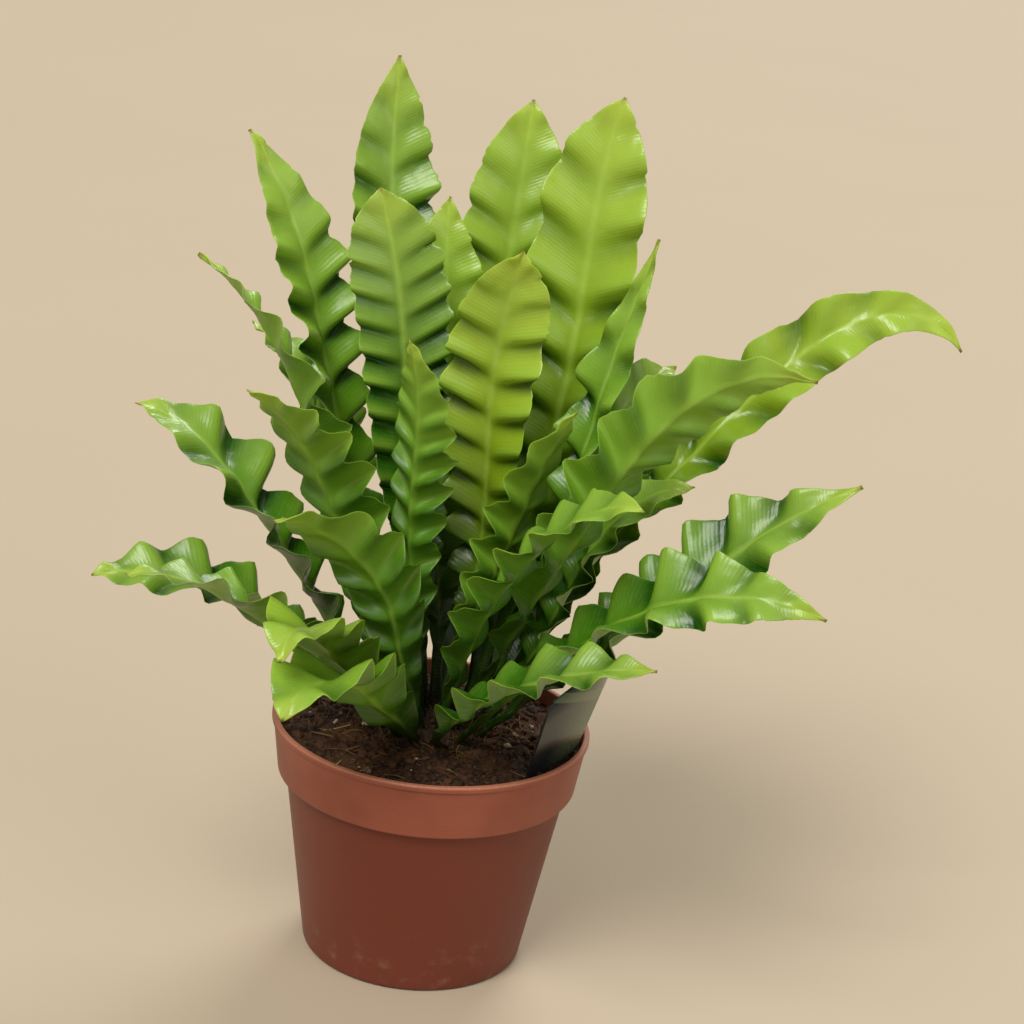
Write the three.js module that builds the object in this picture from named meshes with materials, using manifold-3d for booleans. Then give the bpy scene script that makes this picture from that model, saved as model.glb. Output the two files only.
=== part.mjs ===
// A potted crispy wave bird's nest fern, in millimetres, +Z up.
// The origin is the centre of the pot's base, on the surface that it stands on.
// +X is to the right and +Y is away from someone who looks at the plant from the front.
import * as THREE from 'three';
import { mergeVertices } from 'three/addons/utils/BufferGeometryUtils.js';
import Module from 'manifold-3d';

const wasm = await Module();
wasm.setup();

// Driving dimensions
const GAP = 0.3; // clearance between pieces that touch on the real plant
const POT_HEIGHT = 93;
const POT_RADIUS = 60;
const BASE_RADIUS = 42;
const BAND_HEIGHT = 22; // the deep rim band
const WALL = 1.3;
const SOIL_LEVEL = 87; // at the pot's wall
const SOIL_MOUND = 3; // how much higher the soil is at the crown
const CROWN_RADIUS = 24;
const CROWN_TOP = 96;
const RING_RADII = [6, 13, 20]; // where the stalks stand on the crown, from the middle out
const ROOT_DEPTH = 6; // how far a stalk stands in the crown

// The fronds, from the upright young ones in the middle to the spreading old ones at the edge.
// ring and root: the ring that the stalk stands on, and the azimuth of its place there
// lean: the stalk's tilt from the vertical
// tip, heading and climb: where the tip is, and the azimuth and the slope in which it points
// width: the blade's at its widest
// turn: how far the blade is turned about its midrib at the root and at the tip
// taper: 3 and more for a blunt end, 1 for a straight point, less for one drawn out into a tail
// wave: the length of a wave of the margin
// Azimuths, slopes and turns are in degrees.
const FRONDS = [
  [0, 25, 8, [15, -12, 278], -80, 68, 35, [20, 60], 4.2, 14],
  [0, 128, 9, [-37, 14, 290], 150, 75, 36, [0, -30], 5, 11.5],
  [0, -140, 14, [-22, -32, 248], -130, 65, 25, [20, 16], 2, 13],
  [0, -58, 15, [42, -30, 228], -29, 57, 22, [0, 9], 2, 15],

  [1, 89, 13, [-10, 39, 284], 72, 69, 33, [20, 6], 2.4, 13],
  [1, 127, 19, [-35, 63, 330], 114, 80, 35, [24, -22], 2.5, 18],
  [1, 60, 20, [14, 68, 318], 60, 75, 39, [28, 30], 3.4, 16],
  [1, 28, 22, [51, 45, 325], 30, 72, 41, [28, 50], 3.6, 21],
  [1, -7, 26, [62, 0, 285], 0, 80, 20, [10, 80], 1, 20],
  [1, -46, 30, [120, -44, 250], -7, -8, 32, [20, -58], 1.4, 20],
  [1, -77, 28, [63, -81, 209], -42, 4, 28, [32, 48], 1.6, 18],
  [1, -109, 31, [-58, -72, 192], -137, 2, 30, [30, 19], 1.8, 17],
  [1, -146, 27, [-74, -52, 230], -150, 25, 36, [28, 16], 2, 17],
  [1, -178, 28, [-98, 0, 263], 178, 30, 34, [26, 10], 1.4, 19],
  [1, 154, 24, [-87, 34, 302], 152, 50, 32, [24, -30], 1.6, 18],

  [2, 8, 23, [177, 12, 250], -15, -50, 27, [19, 70], 1.7, 24],
  [2, 31, 38, [128, 50, 236], 18, 5, 30, [26, 0], 0.8, 20],
  [2, 56, 40, [84, 92, 212], 45, -10, 36, [26, 30], 1.6, 19],
  [2, -28, 45, [142, -38, 212], 0, 32, 37, [20, 58], 1, 22],
  [2, -57, 43, [128, -92, 184], -16, -24, 33, [25, 60], 1.1, 19],
  [2, -85, 52, [72, -102, 160], -25, 2, 27, [29, 46], 1.2, 20],
  [2, -106, 46, [-48, -102, 132], -97, -54, 35, [30, -1], 2, 20],
  [2, -153, 46, [-110, -58, 162], -167, -2, 31, [30, 0], 1.6, 19],
  [2, -174, 46, [-128, -18, 146], -170, -20, 33, [23, -25], 1.6, 21],
  [2, 166, 42, [-122, 26, 196], 168, 0, 36, [24, -20], 1.5, 21],
  [2, 140, 42, [-84, 88, 216], 136, 0, 36, [24, 6], 1.6, 19],
  [2, 112, 40, [-38, 118, 224], 108, -5, 36, [26, 25], 1.7, 20],
  [2, 83, 42, [34, 120, 200], 78, -12, 34, [26, 10], 1.6, 21],
  [2, -126, 41, [-54, -95, 150], -100, -63, 32, [30, 2], 2.2, 18],
  [2, -10, 33, [86, -13, 200], -11, 12, 24, [23, 35], 1.6, 18],
].map(([ring, root, lean, tip, heading, climb, width, turn, taper, wave], i) => (
  { ring, root, lean, tip, heading, climb, width, turn, taper, wave, seed: i + 1 }));

// Shape of one frond. Shares are of its length, counted from the root.
const STALK_HALF_WIDTH = 2.1;
const STALK_THICKNESS = 2.8;
const STALK_EDGE_THICKNESS = 1.54;
const MIDRIB_THICKNESS = 1.6;
const TIP_THINNING = 0.4; // of the midrib's thickness
const TIP_THINS = [0.5, 1];
const MARGIN_THICKNESS = 1;
const TIP_HALF_WIDTH = 0.6;
const BLADE_FROM = [0.18, 0.1, 0.05]; // on each ring: the inner stalks stay narrow for longer
const WIDEST = 0.74;
const OPENING = 2.2; // more for a blade that reaches its full width sooner
const HANDLE_AT_ROOT = 0.38; // of the straight distance from root to tip
const HANDLE_AT_TIP = 0.28;
const TROUGH = 22; // how steeply the halves rise from the midrib, in degrees
const SLANT = 0.45; // how far the margin lags towards the tip, of the half width
const SLANT_GROWS = [0.03, 0.2];
const WAVE_RISE = 0.25; // of the wave's length
const SCALLOP = 0.12; // how far the margin comes out on a crest and in at a hollow, of the half width
const SWAY = 2.5; // of the midrib, from side to side
const SWAY_PACE = 7.5; // its angle over the whole length, in radians
const SWAY_GROWS = [0.1, 0.5];
const SEED_STEPS = [2.4, 1.7]; // radians from one frond's sway, drift and swell to the next one's
const TURN_FROM = 0.2; // the blade starts to turn about its midrib here
const STALK_ENDS = [0.03, 0.25]; // the thick stalk gives way to the flat blade between these
const TROUGH_GROWS = [0.03, 0.3];
const TROUGH_FLATTENS = 0.6; // from here to the tip, and by this share
const WAVES_GROW = [0.06, 0.35];
const WAVES_DIE = [0.6, 0.97];
const CALM = 0.8; // how much lower the waves are past that
const UNEVEN_LENGTH = 0.14; // how far the waves drift from an even count
const UNEVEN_HEIGHT = 0.2;
const UNEVEN_PACES = [0.05, 0.09]; // of the drift and of the height, in radians a millimetre
const FIRST_ROWS = [0, 0.035]; // the rows across the stalk, below the first wave
const WAVES_FROM = 0.07;
const WAVES_TO = 0.965;

const radians = THREE.MathUtils.degToRad;
const smooth = (from, to, x) => THREE.MathUtils.smoothstep(x, from, to);
const azimuth = (degrees) => new THREE.Vector3(Math.cos(radians(degrees)), Math.sin(radians(degrees)), 0);

// Solids and meshes

function solidFrom(geometry) {
  const bare = geometry.clone();
  bare.deleteAttribute('normal');
  bare.deleteAttribute('uv');
  const merged = mergeVertices(bare, 1e-4);
  const vertProperties = new Float32Array(merged.getAttribute('position').array);
  const triVerts = new Uint32Array(merged.index.array);
  return new wasm.Manifold(new wasm.Mesh({ numProp: 3, vertProperties, triVerts }));
}

function geometryFrom(solid) {
  const { vertProperties, triVerts } = solid.getMesh();
  const geometry = new THREE.BufferGeometry();
  geometry.setAttribute('position', new THREE.BufferAttribute(new Float32Array(vertProperties), 3));
  geometry.setIndex(new THREE.BufferAttribute(new Uint32Array(triVerts), 1));
  geometry.computeVertexNormals();
  return geometry;
}

// A solid of revolution about +Z. The profile is a list of [radius, height], from the axis or closed.
function turned(profile, segments) {
  const points = profile.map(([radius, height]) => new THREE.Vector2(radius, height));
  return new THREE.LatheGeometry(points, segments).rotateX(Math.PI / 2);
}

function named(name, geometry, material) {
  const mesh = new THREE.Mesh(geometry, material);
  mesh.name = name;
  return mesh;
}

// The pot

const BAND_FOOT = POT_HEIGHT - BAND_HEIGHT;
const BAND_RADIUS = 56.5; // outside, at the band's foot
const BODY_RADIUS = 53.5; // outside, right under the band
const BAND_BORE = [55.4, 57.8]; // the inner radius behind the band, at its foot and at the rim
const LIP = 2.2; // the height of the plain edge around the rim
const LIP_PROUD = 0.8; // how far it stands out of the band
const ROUNDING = 0.6;
const CHAMFER = 2; // around the base
const POT_SEGMENTS = 56;
const DRAIN_COUNT = 8;
const DRAIN_RADIUS = 3.5;
const DRAIN_RING = 31;
const DRAIN_SEGMENTS = 8;
const FLOOR = 1.6;

// The body's outer radius at a height below the band.
const bodyRadius = (z) => THREE.MathUtils.mapLinear(z, CHAMFER, BAND_FOOT, BASE_RADIUS, BODY_RADIUS);
// The inner radius of the shell at any height, where the soil lies against it.
function innerRadius(z) {
  if (z < BAND_FOOT + WALL) return bodyRadius(z) - WALL;
  return THREE.MathUtils.mapLinear(z, BAND_FOOT + WALL, POT_HEIGHT, ...BAND_BORE);
}

function potGeometry() {
  const profile = [
    [0, 0],
    [BASE_RADIUS - CHAMFER, 0],
    [BASE_RADIUS, CHAMFER],
    [BODY_RADIUS, BAND_FOOT],
    [BAND_RADIUS, BAND_FOOT],
    [POT_RADIUS - LIP_PROUD, POT_HEIGHT - LIP - LIP_PROUD],
    [POT_RADIUS, POT_HEIGHT - LIP],
    [POT_RADIUS, POT_HEIGHT - ROUNDING],
    [POT_RADIUS - ROUNDING, POT_HEIGHT],
    [BAND_BORE[1], POT_HEIGHT],
    [BAND_BORE[0], BAND_FOOT + WALL],
    [innerRadius(BAND_FOOT), BAND_FOOT + WALL],
    [innerRadius(FLOOR), FLOOR],
    [0, FLOOR],
  ];
  let shell = solidFrom(turned(profile, POT_SEGMENTS));
  for (let i = 0; i < DRAIN_COUNT; i++) {
    const place = azimuth((360 * (i + 0.5)) / DRAIN_COUNT).multiplyScalar(DRAIN_RING);
    const drill = new THREE.CylinderGeometry(DRAIN_RADIUS, DRAIN_RADIUS, 3 * FLOOR, DRAIN_SEGMENTS);
    drill.rotateX(Math.PI / 2).translate(place.x, place.y, FLOOR / 2);
    shell = shell.subtract(solidFrom(drill));
  }
  return geometryFrom(shell);
}

// The fronds

const widthAt = (frond, u) => {
  const from = BLADE_FROM[frond.ring];
  const opening = THREE.MathUtils.clamp((u - from) / (WIDEST - from), 0, 1);
  const closing = THREE.MathUtils.clamp((u - WIDEST) / (1 - WIDEST), 0, 1);
  const blade = (1 - (1 - opening) ** OPENING) * (1 - closing ** frond.taper);
  return Math.max((frond.width / 2) * blade, u < WIDEST ? STALK_HALF_WIDTH : TIP_HALF_WIDTH);
};

// The midrib's curve, and the level direction across it.
function midrib(frond) {
  const out = azimuth(frond.root);
  const lean = radians(frond.lean);
  const rootWay = out.clone().multiplyScalar(Math.sin(lean)).setZ(Math.cos(lean));
  const radius = RING_RADII[frond.ring];
  const root = out.clone().multiplyScalar(radius).setZ(crownHeight(radius));
  root.addScaledVector(rootWay, -ROOT_DEPTH);
  const tip = new THREE.Vector3(...frond.tip);
  const climb = radians(frond.climb);
  const tipWay = azimuth(frond.heading).multiplyScalar(Math.cos(climb)).setZ(Math.sin(climb));
  const span = root.distanceTo(tip);
  const curve = new THREE.CubicBezierCurve3(
    root,
    root.clone().addScaledVector(rootWay, span * HANDLE_AT_ROOT),
    tip.clone().addScaledVector(tipWay, -span * HANDLE_AT_TIP),
    tip,
  );
  curve.arcLengthDivisions = 400;
  return { curve, level: azimuth(frond.root + 90), length: curve.getLength() };
}

// The midrib's place at a share of its length, and the blade's axes there:
// along it, out of its upper face, and across it.
function bladeFrame(frond, rib, u) {
  const along = rib.curve.getTangentAt(u);
  const face = along.clone().cross(rib.level).normalize();
  face.applyAxisAngle(along, radians(THREE.MathUtils.lerp(...frond.turn, smooth(TURN_FROM, 1, u))));
  const side = face.clone().cross(along);
  const sway = SWAY * Math.sin(SWAY_PACE * u + SEED_STEPS[0] * frond.seed) * smooth(...SWAY_GROWS, u);
  return { at: rib.curve.getPointAt(u).addScaledVector(side, sway), along, face, side };
}

// How many waves the margin has made by a distance along the midrib. Their length varies a little,
// and the seed shifts that from frond to frond.
const waveCount = (frond, s) => (
  s / frond.wave + UNEVEN_LENGTH * Math.sin(UNEVEN_PACES[0] * s + SEED_STEPS[0] * frond.seed));

// The margin of one half as a wave between about -1 and 1, which dies away at both ends.
function marginWave(frond, u, s, half) {
  const shift = half > 0 ? 0 : 0.25 * (frond.seed % 4);
  const ends = smooth(...WAVES_GROW, u) * (1 - CALM * smooth(...WAVES_DIE, u));
  const swell = UNEVEN_HEIGHT * Math.sin(UNEVEN_PACES[1] * s + SEED_STEPS[1] * frond.seed);
  const height = ends * (0.9 + swell);
  return height * Math.sin(2 * Math.PI * (waveCount(frond, s) + shift));
}

// The rows across the blade, as shares of its length: one at every quarter of a wave.
function rowPlaces(frond, length) {
  const places = [...FIRST_ROWS];
  let s = WAVES_FROM * length;
  for (let count = Math.ceil(4 * waveCount(frond, s)) / 4; ; count += 0.25) {
    for (let i = 0; i < 4; i++) s += (count - waveCount(frond, s)) * frond.wave;
    if (s > WAVES_TO * length) break;
    places.push(s / length);
  }
  return [...places, 1];
}

function frondGeometry(frond) {
  const rib = midrib(frond);
  const points = rowPlaces(frond, rib.length).map((u) => {
    const middle = bladeFrame(frond, rib, u);
    const lag = (SLANT * widthAt(frond, u) * smooth(...SLANT_GROWS, u)) / rib.length;
    const v = Math.min(u + lag, 1);
    const { at, face, side } = bladeFrame(frond, rib, v);
    const flattening = 1 - TROUGH_FLATTENS * smooth(TROUGH_FLATTENS, 1, v);
    const trough = radians(TROUGH) * smooth(...TROUGH_GROWS, v) * flattening;
    const margin = (half) => {
      const wave = marginWave(frond, u, u * rib.length, half);
      const reach = widthAt(frond, v) * (1 + SCALLOP * wave);
      const rise = WAVE_RISE * frond.wave * wave;
      return at.clone()
        .addScaledVector(side, half * reach * Math.cos(trough))
        .addScaledVector(face, reach * Math.sin(trough) + rise);
    };
    return { ...middle, u, left: margin(-1), right: margin(1) };
  });
  const position = [];
  points.forEach((p, i) => {
    const before = points[Math.max(i - 1, 0)];
    const after = points[Math.min(i + 1, points.length - 1)];
    const stalk = 1 - smooth(...STALK_ENDS, p.u);
    const thinning = 1 - TIP_THINNING * smooth(...TIP_THINS, p.u);
    const middle = THREE.MathUtils.lerp(MIDRIB_THICKNESS, STALK_THICKNESS, stalk) * thinning;
    const edge = THREE.MathUtils.lerp(MARGIN_THICKNESS, STALK_EDGE_THICKNESS, stalk);
    const leftFace = p.left.clone().sub(p.at).cross(after.left.clone().sub(before.left)).normalize();
    const rightFace = after.right.clone().sub(before.right).cross(p.right.clone().sub(p.at)).normalize();
    for (const sign of [0.5, -0.5]) {
      position.push(...p.left.clone().addScaledVector(leftFace, sign * edge));
      position.push(...p.at.clone().addScaledVector(p.face, sign * middle));
      position.push(...p.right.clone().addScaledVector(rightFace, sign * edge));
    }
  });
  return closedStrip(position, points.length);
}

// Joins rows of six points, three on the upper face and three on the lower, into a closed skin.
function closedStrip(position, rowCount) {
  const index = [];
  const ring = [0, 1, 2, 5, 4, 3];
  for (let i = 0; i + 1 < rowCount; i++) {
    ring.forEach((from, k) => {
      const to = ring[(k + 1) % ring.length];
      const a = 6 * i + from;
      const b = 6 * i + to;
      const c = b + 6;
      const d = a + 6;
      // both faces are split from the midrib to the next row's margin
      if (from % 3 === 1) index.push(a, c, b, a, d, c);
      else index.push(a, d, b, b, d, c);
    });
  }
  const end = 6 * (rowCount - 1);
  for (const cap of [[0, 4, 3], [0, 1, 4], [1, 5, 4], [1, 2, 5]]) {
    index.push(...cap);
    index.push(...cap.map((k) => end + k).toReversed());
  }
  const geometry = new THREE.BufferGeometry();
  geometry.setAttribute('position', new THREE.Float32BufferAttribute(position, 3));
  geometry.setIndex(index);
  geometry.computeVertexNormals();
  return geometry;
}

// The crown

const CROWN_SEGMENTS = 16;
const CROWN_FOOT = 72;
const CROWN_DROP = 5; // from its middle to its edge
const CROWN_RINGS = [0.8, 0.45, 0]; // of its radius
// The crown's underside, as radii and heights above its foot.
const CROWN_UNDERSIDE = [[0, 0], [9, 1], [CROWN_RADIUS - 4, 8], [CROWN_RADIUS, 15]];
const SOCKET_GAP = GAP + 0.15; // the stalks curve a little in their sockets

function crownHeight(radius) {
  return CROWN_TOP - CROWN_DROP * (radius / CROWN_RADIUS) ** 2;
}

function crownGeometry() {
  const top = CROWN_RINGS.map((share) => share * CROWN_RADIUS);
  const profile = [
    ...CROWN_UNDERSIDE.map(([radius, height]) => [radius, CROWN_FOOT + height]),
    [CROWN_RADIUS, crownHeight(CROWN_RADIUS) - 1],
    ...top.map((radius) => [radius, crownHeight(radius)]),
  ];
  let crown = solidFrom(turned(profile, CROWN_SEGMENTS));
  for (const frond of FRONDS) crown = crown.subtract(socket(frond));
  return geometryFrom(crown);
}

// The plain hole in the crown that a stalk stands in.
function socket(frond) {
  const { at, along, face, side } = bladeFrame(frond, midrib(frond), 0);
  const width = 2 * (STALK_HALF_WIDTH + SOCKET_GAP);
  const depth = 3 * ROOT_DEPTH;
  const box = new THREE.BoxGeometry(width, STALK_THICKNESS + 2 * SOCKET_GAP, depth);
  const axes = new THREE.Matrix4().makeBasis(side, face, along);
  if (axes.determinant() < 0) axes.makeBasis(side.clone().negate(), face, along);
  box.applyMatrix4(axes);
  const middle = at.clone().addScaledVector(along, depth / 2 - GAP);
  return solidFrom(box.translate(middle.x, middle.y, middle.z));
}

// The soil

const SOIL_SEGMENTS = 32;
const SOIL_RINGS = [0, 0.24, 0.48, 0.7, 0.88, 1]; // shares of the way from the crown to the wall
const SOIL_EDGE = SOIL_LEVEL - 2; // lower than any hollow of its surface
const HUMP_HEIGHT = 0.8;
const CRUMB_HEIGHT = 0.5;

// The soil's surface, a low mound with humps and crumbs.
function soilHeight(x, y) {
  const radius = Math.hypot(x, y);
  const mound = SOIL_MOUND * (1 - smooth(CROWN_RADIUS, innerRadius(SOIL_LEVEL), radius));
  const humps = HUMP_HEIGHT * Math.sin(0.31 * x + 1.3) * Math.sin(0.27 * y + 0.4);
  const crumbs = CRUMB_HEIGHT * Math.sin(0.63 * x - 0.5 * y);
  return SOIL_LEVEL + mound + humps + crumbs;
}

function soilGeometry() {
  const outer = innerRadius(SOIL_EDGE) - GAP;
  const hole = CROWN_RADIUS + GAP;
  const ledge = BAND_FOOT + WALL + GAP;
  const profile = [
    [0, FLOOR + GAP],
    [innerRadius(FLOOR) - GAP, FLOOR + GAP],
    [innerRadius(BAND_FOOT) - GAP, ledge],
    [innerRadius(ledge) - GAP, ledge],
    [outer, SOIL_EDGE],
    ...SOIL_RINGS.toReversed().map((share) => [THREE.MathUtils.lerp(hole, outer, share), SOIL_LEVEL]),
    ...CROWN_UNDERSIDE.toReversed().map(([radius, height]) => (
      [radius === 0 ? 0 : radius + GAP, CROWN_FOOT + height - GAP])),
  ];
  const geometry = turned(profile, SOIL_SEGMENTS);
  const position = geometry.getAttribute('position');
  for (let i = 0; i < position.count; i++) {
    if (Math.abs(position.getZ(i) - SOIL_LEVEL) > 0.01) continue;
    position.setZ(i, soilHeight(position.getX(i), position.getY(i)));
  }
  return geometryFrom(solidFrom(geometry).subtract(solidFrom(labelGeometry(GAP))));
}

// The plant label

const LABEL_THICKNESS = 0.8;
const LABEL_RADIUS = 50.5; // how far from the pot's axis it stands at the soil
const LABEL_PLACE = -26; // the azimuth of its place there
const LABEL_TURN = -32; // the azimuth that its printed side faces
const LABEL_LEAN = 15; // outwards, in degrees
const LABEL_DEPTH = 30; // how deep it stands in the soil
const LABEL_FOOT = 3; // half its width at the foot
const LABEL_SHOULDER = [16.5, -6]; // half its width, and the height above the soil, where the foot begins
const LABEL_CORNER = [21, 36]; // the same for the ends of its arched top
const ARCH_SEGMENTS = 8;

// A sheet that widens upwards to an arched top and narrows to a point in the soil.
function labelGeometry(grow = 0) {
  const [shoulder, shoulderHeight] = LABEL_SHOULDER;
  const [corner, cornerHeight] = LABEL_CORNER;
  const arch = Math.atan2(cornerHeight, corner);
  const outline = new THREE.Shape();
  outline.moveTo(-LABEL_FOOT, -LABEL_DEPTH);
  outline.lineTo(LABEL_FOOT, -LABEL_DEPTH);
  outline.lineTo(shoulder, shoulderHeight);
  outline.lineTo(corner, cornerHeight);
  outline.absarc(0, 0, Math.hypot(corner, cornerHeight), arch, Math.PI - arch, false);
  outline.lineTo(-shoulder, shoulderHeight);
  outline.closePath();
  const thickness = LABEL_THICKNESS + 2 * grow;
  const options = { depth: thickness, bevelEnabled: false, curveSegments: ARCH_SEGMENTS };
  const sheet = new THREE.ExtrudeGeometry(outline, options);
  sheet.translate(0, -grow, -thickness / 2).scale(1 + grow / LABEL_FOOT, 1, 1);
  // stand it up, lean it outwards and turn it to face its way
  sheet.rotateX(Math.PI / 2 + radians(LABEL_LEAN));
  sheet.rotateZ(radians(LABEL_TURN + 90));
  const place = azimuth(LABEL_PLACE).multiplyScalar(LABEL_RADIUS);
  return sheet.translate(place.x, place.y, SOIL_LEVEL);
}

// Finishes, and the whole plant

const terracotta = new THREE.MeshStandardMaterial({ color: 0xa4583c, roughness: 0.5 });
const peat = new THREE.MeshStandardMaterial({ color: 0x35241a, roughness: 1 });
const rootstock = new THREE.MeshStandardMaterial({ color: 0x3a2a1a, roughness: 0.9 });
const printed = new THREE.MeshStandardMaterial({ color: 0x46504c, roughness: 0.35 });
const leaf = new THREE.MeshStandardMaterial({ color: 0x6da524, roughness: 0.35 });

const plant = new THREE.Group();
plant.add(named('pot', potGeometry(), terracotta));
plant.add(named('soil', soilGeometry(), peat));
plant.add(named('crown', crownGeometry(), rootstock));
plant.add(named('plant_label', labelGeometry(), printed));
for (const frond of FRONDS) {
  const name = `frond_${String(frond.seed).padStart(2, '0')}`;
  plant.add(named(name, frondGeometry(frond), leaf));
}

export default plant;
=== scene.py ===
# A potted crispy wave bird's nest fern in its nursery pot: the looks of each piece.
import math

import bmesh
import bpy
from mathutils import Matrix, Quaternion, Vector, noise


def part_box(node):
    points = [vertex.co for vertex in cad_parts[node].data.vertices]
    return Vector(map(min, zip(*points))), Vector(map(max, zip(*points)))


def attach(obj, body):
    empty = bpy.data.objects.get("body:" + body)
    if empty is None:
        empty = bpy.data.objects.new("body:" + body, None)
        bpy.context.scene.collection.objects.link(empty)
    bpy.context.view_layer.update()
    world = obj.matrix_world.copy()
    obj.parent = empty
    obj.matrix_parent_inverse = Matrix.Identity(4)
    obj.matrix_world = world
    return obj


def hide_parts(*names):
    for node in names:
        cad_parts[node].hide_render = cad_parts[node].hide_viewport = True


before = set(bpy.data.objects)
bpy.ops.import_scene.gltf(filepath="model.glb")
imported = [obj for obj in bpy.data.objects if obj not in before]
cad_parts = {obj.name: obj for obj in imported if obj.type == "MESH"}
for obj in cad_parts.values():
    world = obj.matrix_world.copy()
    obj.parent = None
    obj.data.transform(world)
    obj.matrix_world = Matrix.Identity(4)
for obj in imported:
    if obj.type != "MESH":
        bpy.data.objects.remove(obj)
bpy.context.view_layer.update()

# The pot
# A thin moulded shell of terracotta-coloured plastic, satin outside. A deep band stiffens its rim,
# and the tapered body below has a ring of drain holes through its base.
MM = 0.001
pot_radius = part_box("pot")[1].x
pot_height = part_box("pot")[1].z
BAND_HEIGHT = 22 * MM
BAND_RADIUS = 56.5 * MM
BODY_RADIUS = 53.5 * MM
BASE_RADIUS = 42 * MM
BAND_BORE = (55.4 * MM, 57.8 * MM)
WALL = 1.3 * MM
FLOOR = 1.6 * MM
DRAIN_COUNT = 8
DRAIN_RING = 31 * MM
DRAIN_RADIUS = 3.5 * MM
DRAIN_SEGMENTS = 32
CHAMFER = 2 * MM
LIP = 2.2 * MM  # the height of the plain edge around the rim
LIP_PROUD = 0.8 * MM
MOULD_RING = 1.7 * MM  # from one faint ring of the mould to the next
POT_SEGMENTS = 180

band_foot = pot_height - BAND_HEIGHT
ledge = band_foot + WALL


def srgb(red, green, blue):
    """A colour as it looks on a screen, from 0 to 255, as the linear colour that a shader takes."""
    shares = [c / 255 for c in (red, green, blue)]
    return (*(c / 12.92 if c < 0.04045 else ((c + 0.055) / 1.055) ** 2.4 for c in shares), 1)


def azimuth(degrees):
    """The level direction at an azimuth, counted from +X towards +Y."""
    return Vector((math.cos(math.radians(degrees)), math.sin(math.radians(degrees)), 0))


def rounded(corners, steps=5, run_in=1.4):
    """The outline through corners (radius, height, rounding), with a curve at each rounded corner and
    a point just before and after it, at run_in times the rounding."""
    points = []
    for i, (radius, height, rounding) in enumerate(corners):
        corner = Vector((radius, height))
        if rounding == 0:
            points.append(corner)
            continue
        before = (Vector(corners[i - 1][:2]) - corner).normalized() * rounding
        after = (Vector(corners[i + 1][:2]) - corner).normalized() * rounding
        points.append(corner + before * run_in)
        for k in range(steps + 1):
            t = k / steps
            points.append(corner + before * (1 - t) ** 2 + after * t ** 2)
        points.append(corner + after * run_in)
    return points


def placed(name, mesh, material):
    """A new object of the scene with one finish, which rides on the plant."""
    piece = bpy.data.objects.new(name, mesh)
    bpy.context.scene.collection.objects.link(piece)
    if material:
        mesh.materials.clear()
        mesh.materials.append(material)
    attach(piece, "root")
    return piece


def turned(name, outline, segments):
    """A closed solid of revolution about +Z. The outline starts and ends on the axis, outside first."""
    shape = bmesh.new()
    rows = []
    for radius, height in outline:
        count = segments if radius > 0 else 1
        turns = [azimuth(360 * k / segments) * radius for k in range(count)]
        rows.append([shape.verts.new((turn.x, turn.y, height)) for turn in turns])
    for lower, upper in zip(rows, rows[1:]):
        for k in range(segments):
            corners = ((lower, 0), (lower, 1), (upper, 1), (upper, 0))
            ring = [row[(k + step) % len(row)] for row, step in corners]
            # a face at the axis has its corner there only once
            shape.faces.new(list(dict.fromkeys(ring))).smooth = True
    mesh = bpy.data.meshes.new(name)
    shape.to_mesh(mesh)
    shape.free()
    return mesh


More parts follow.
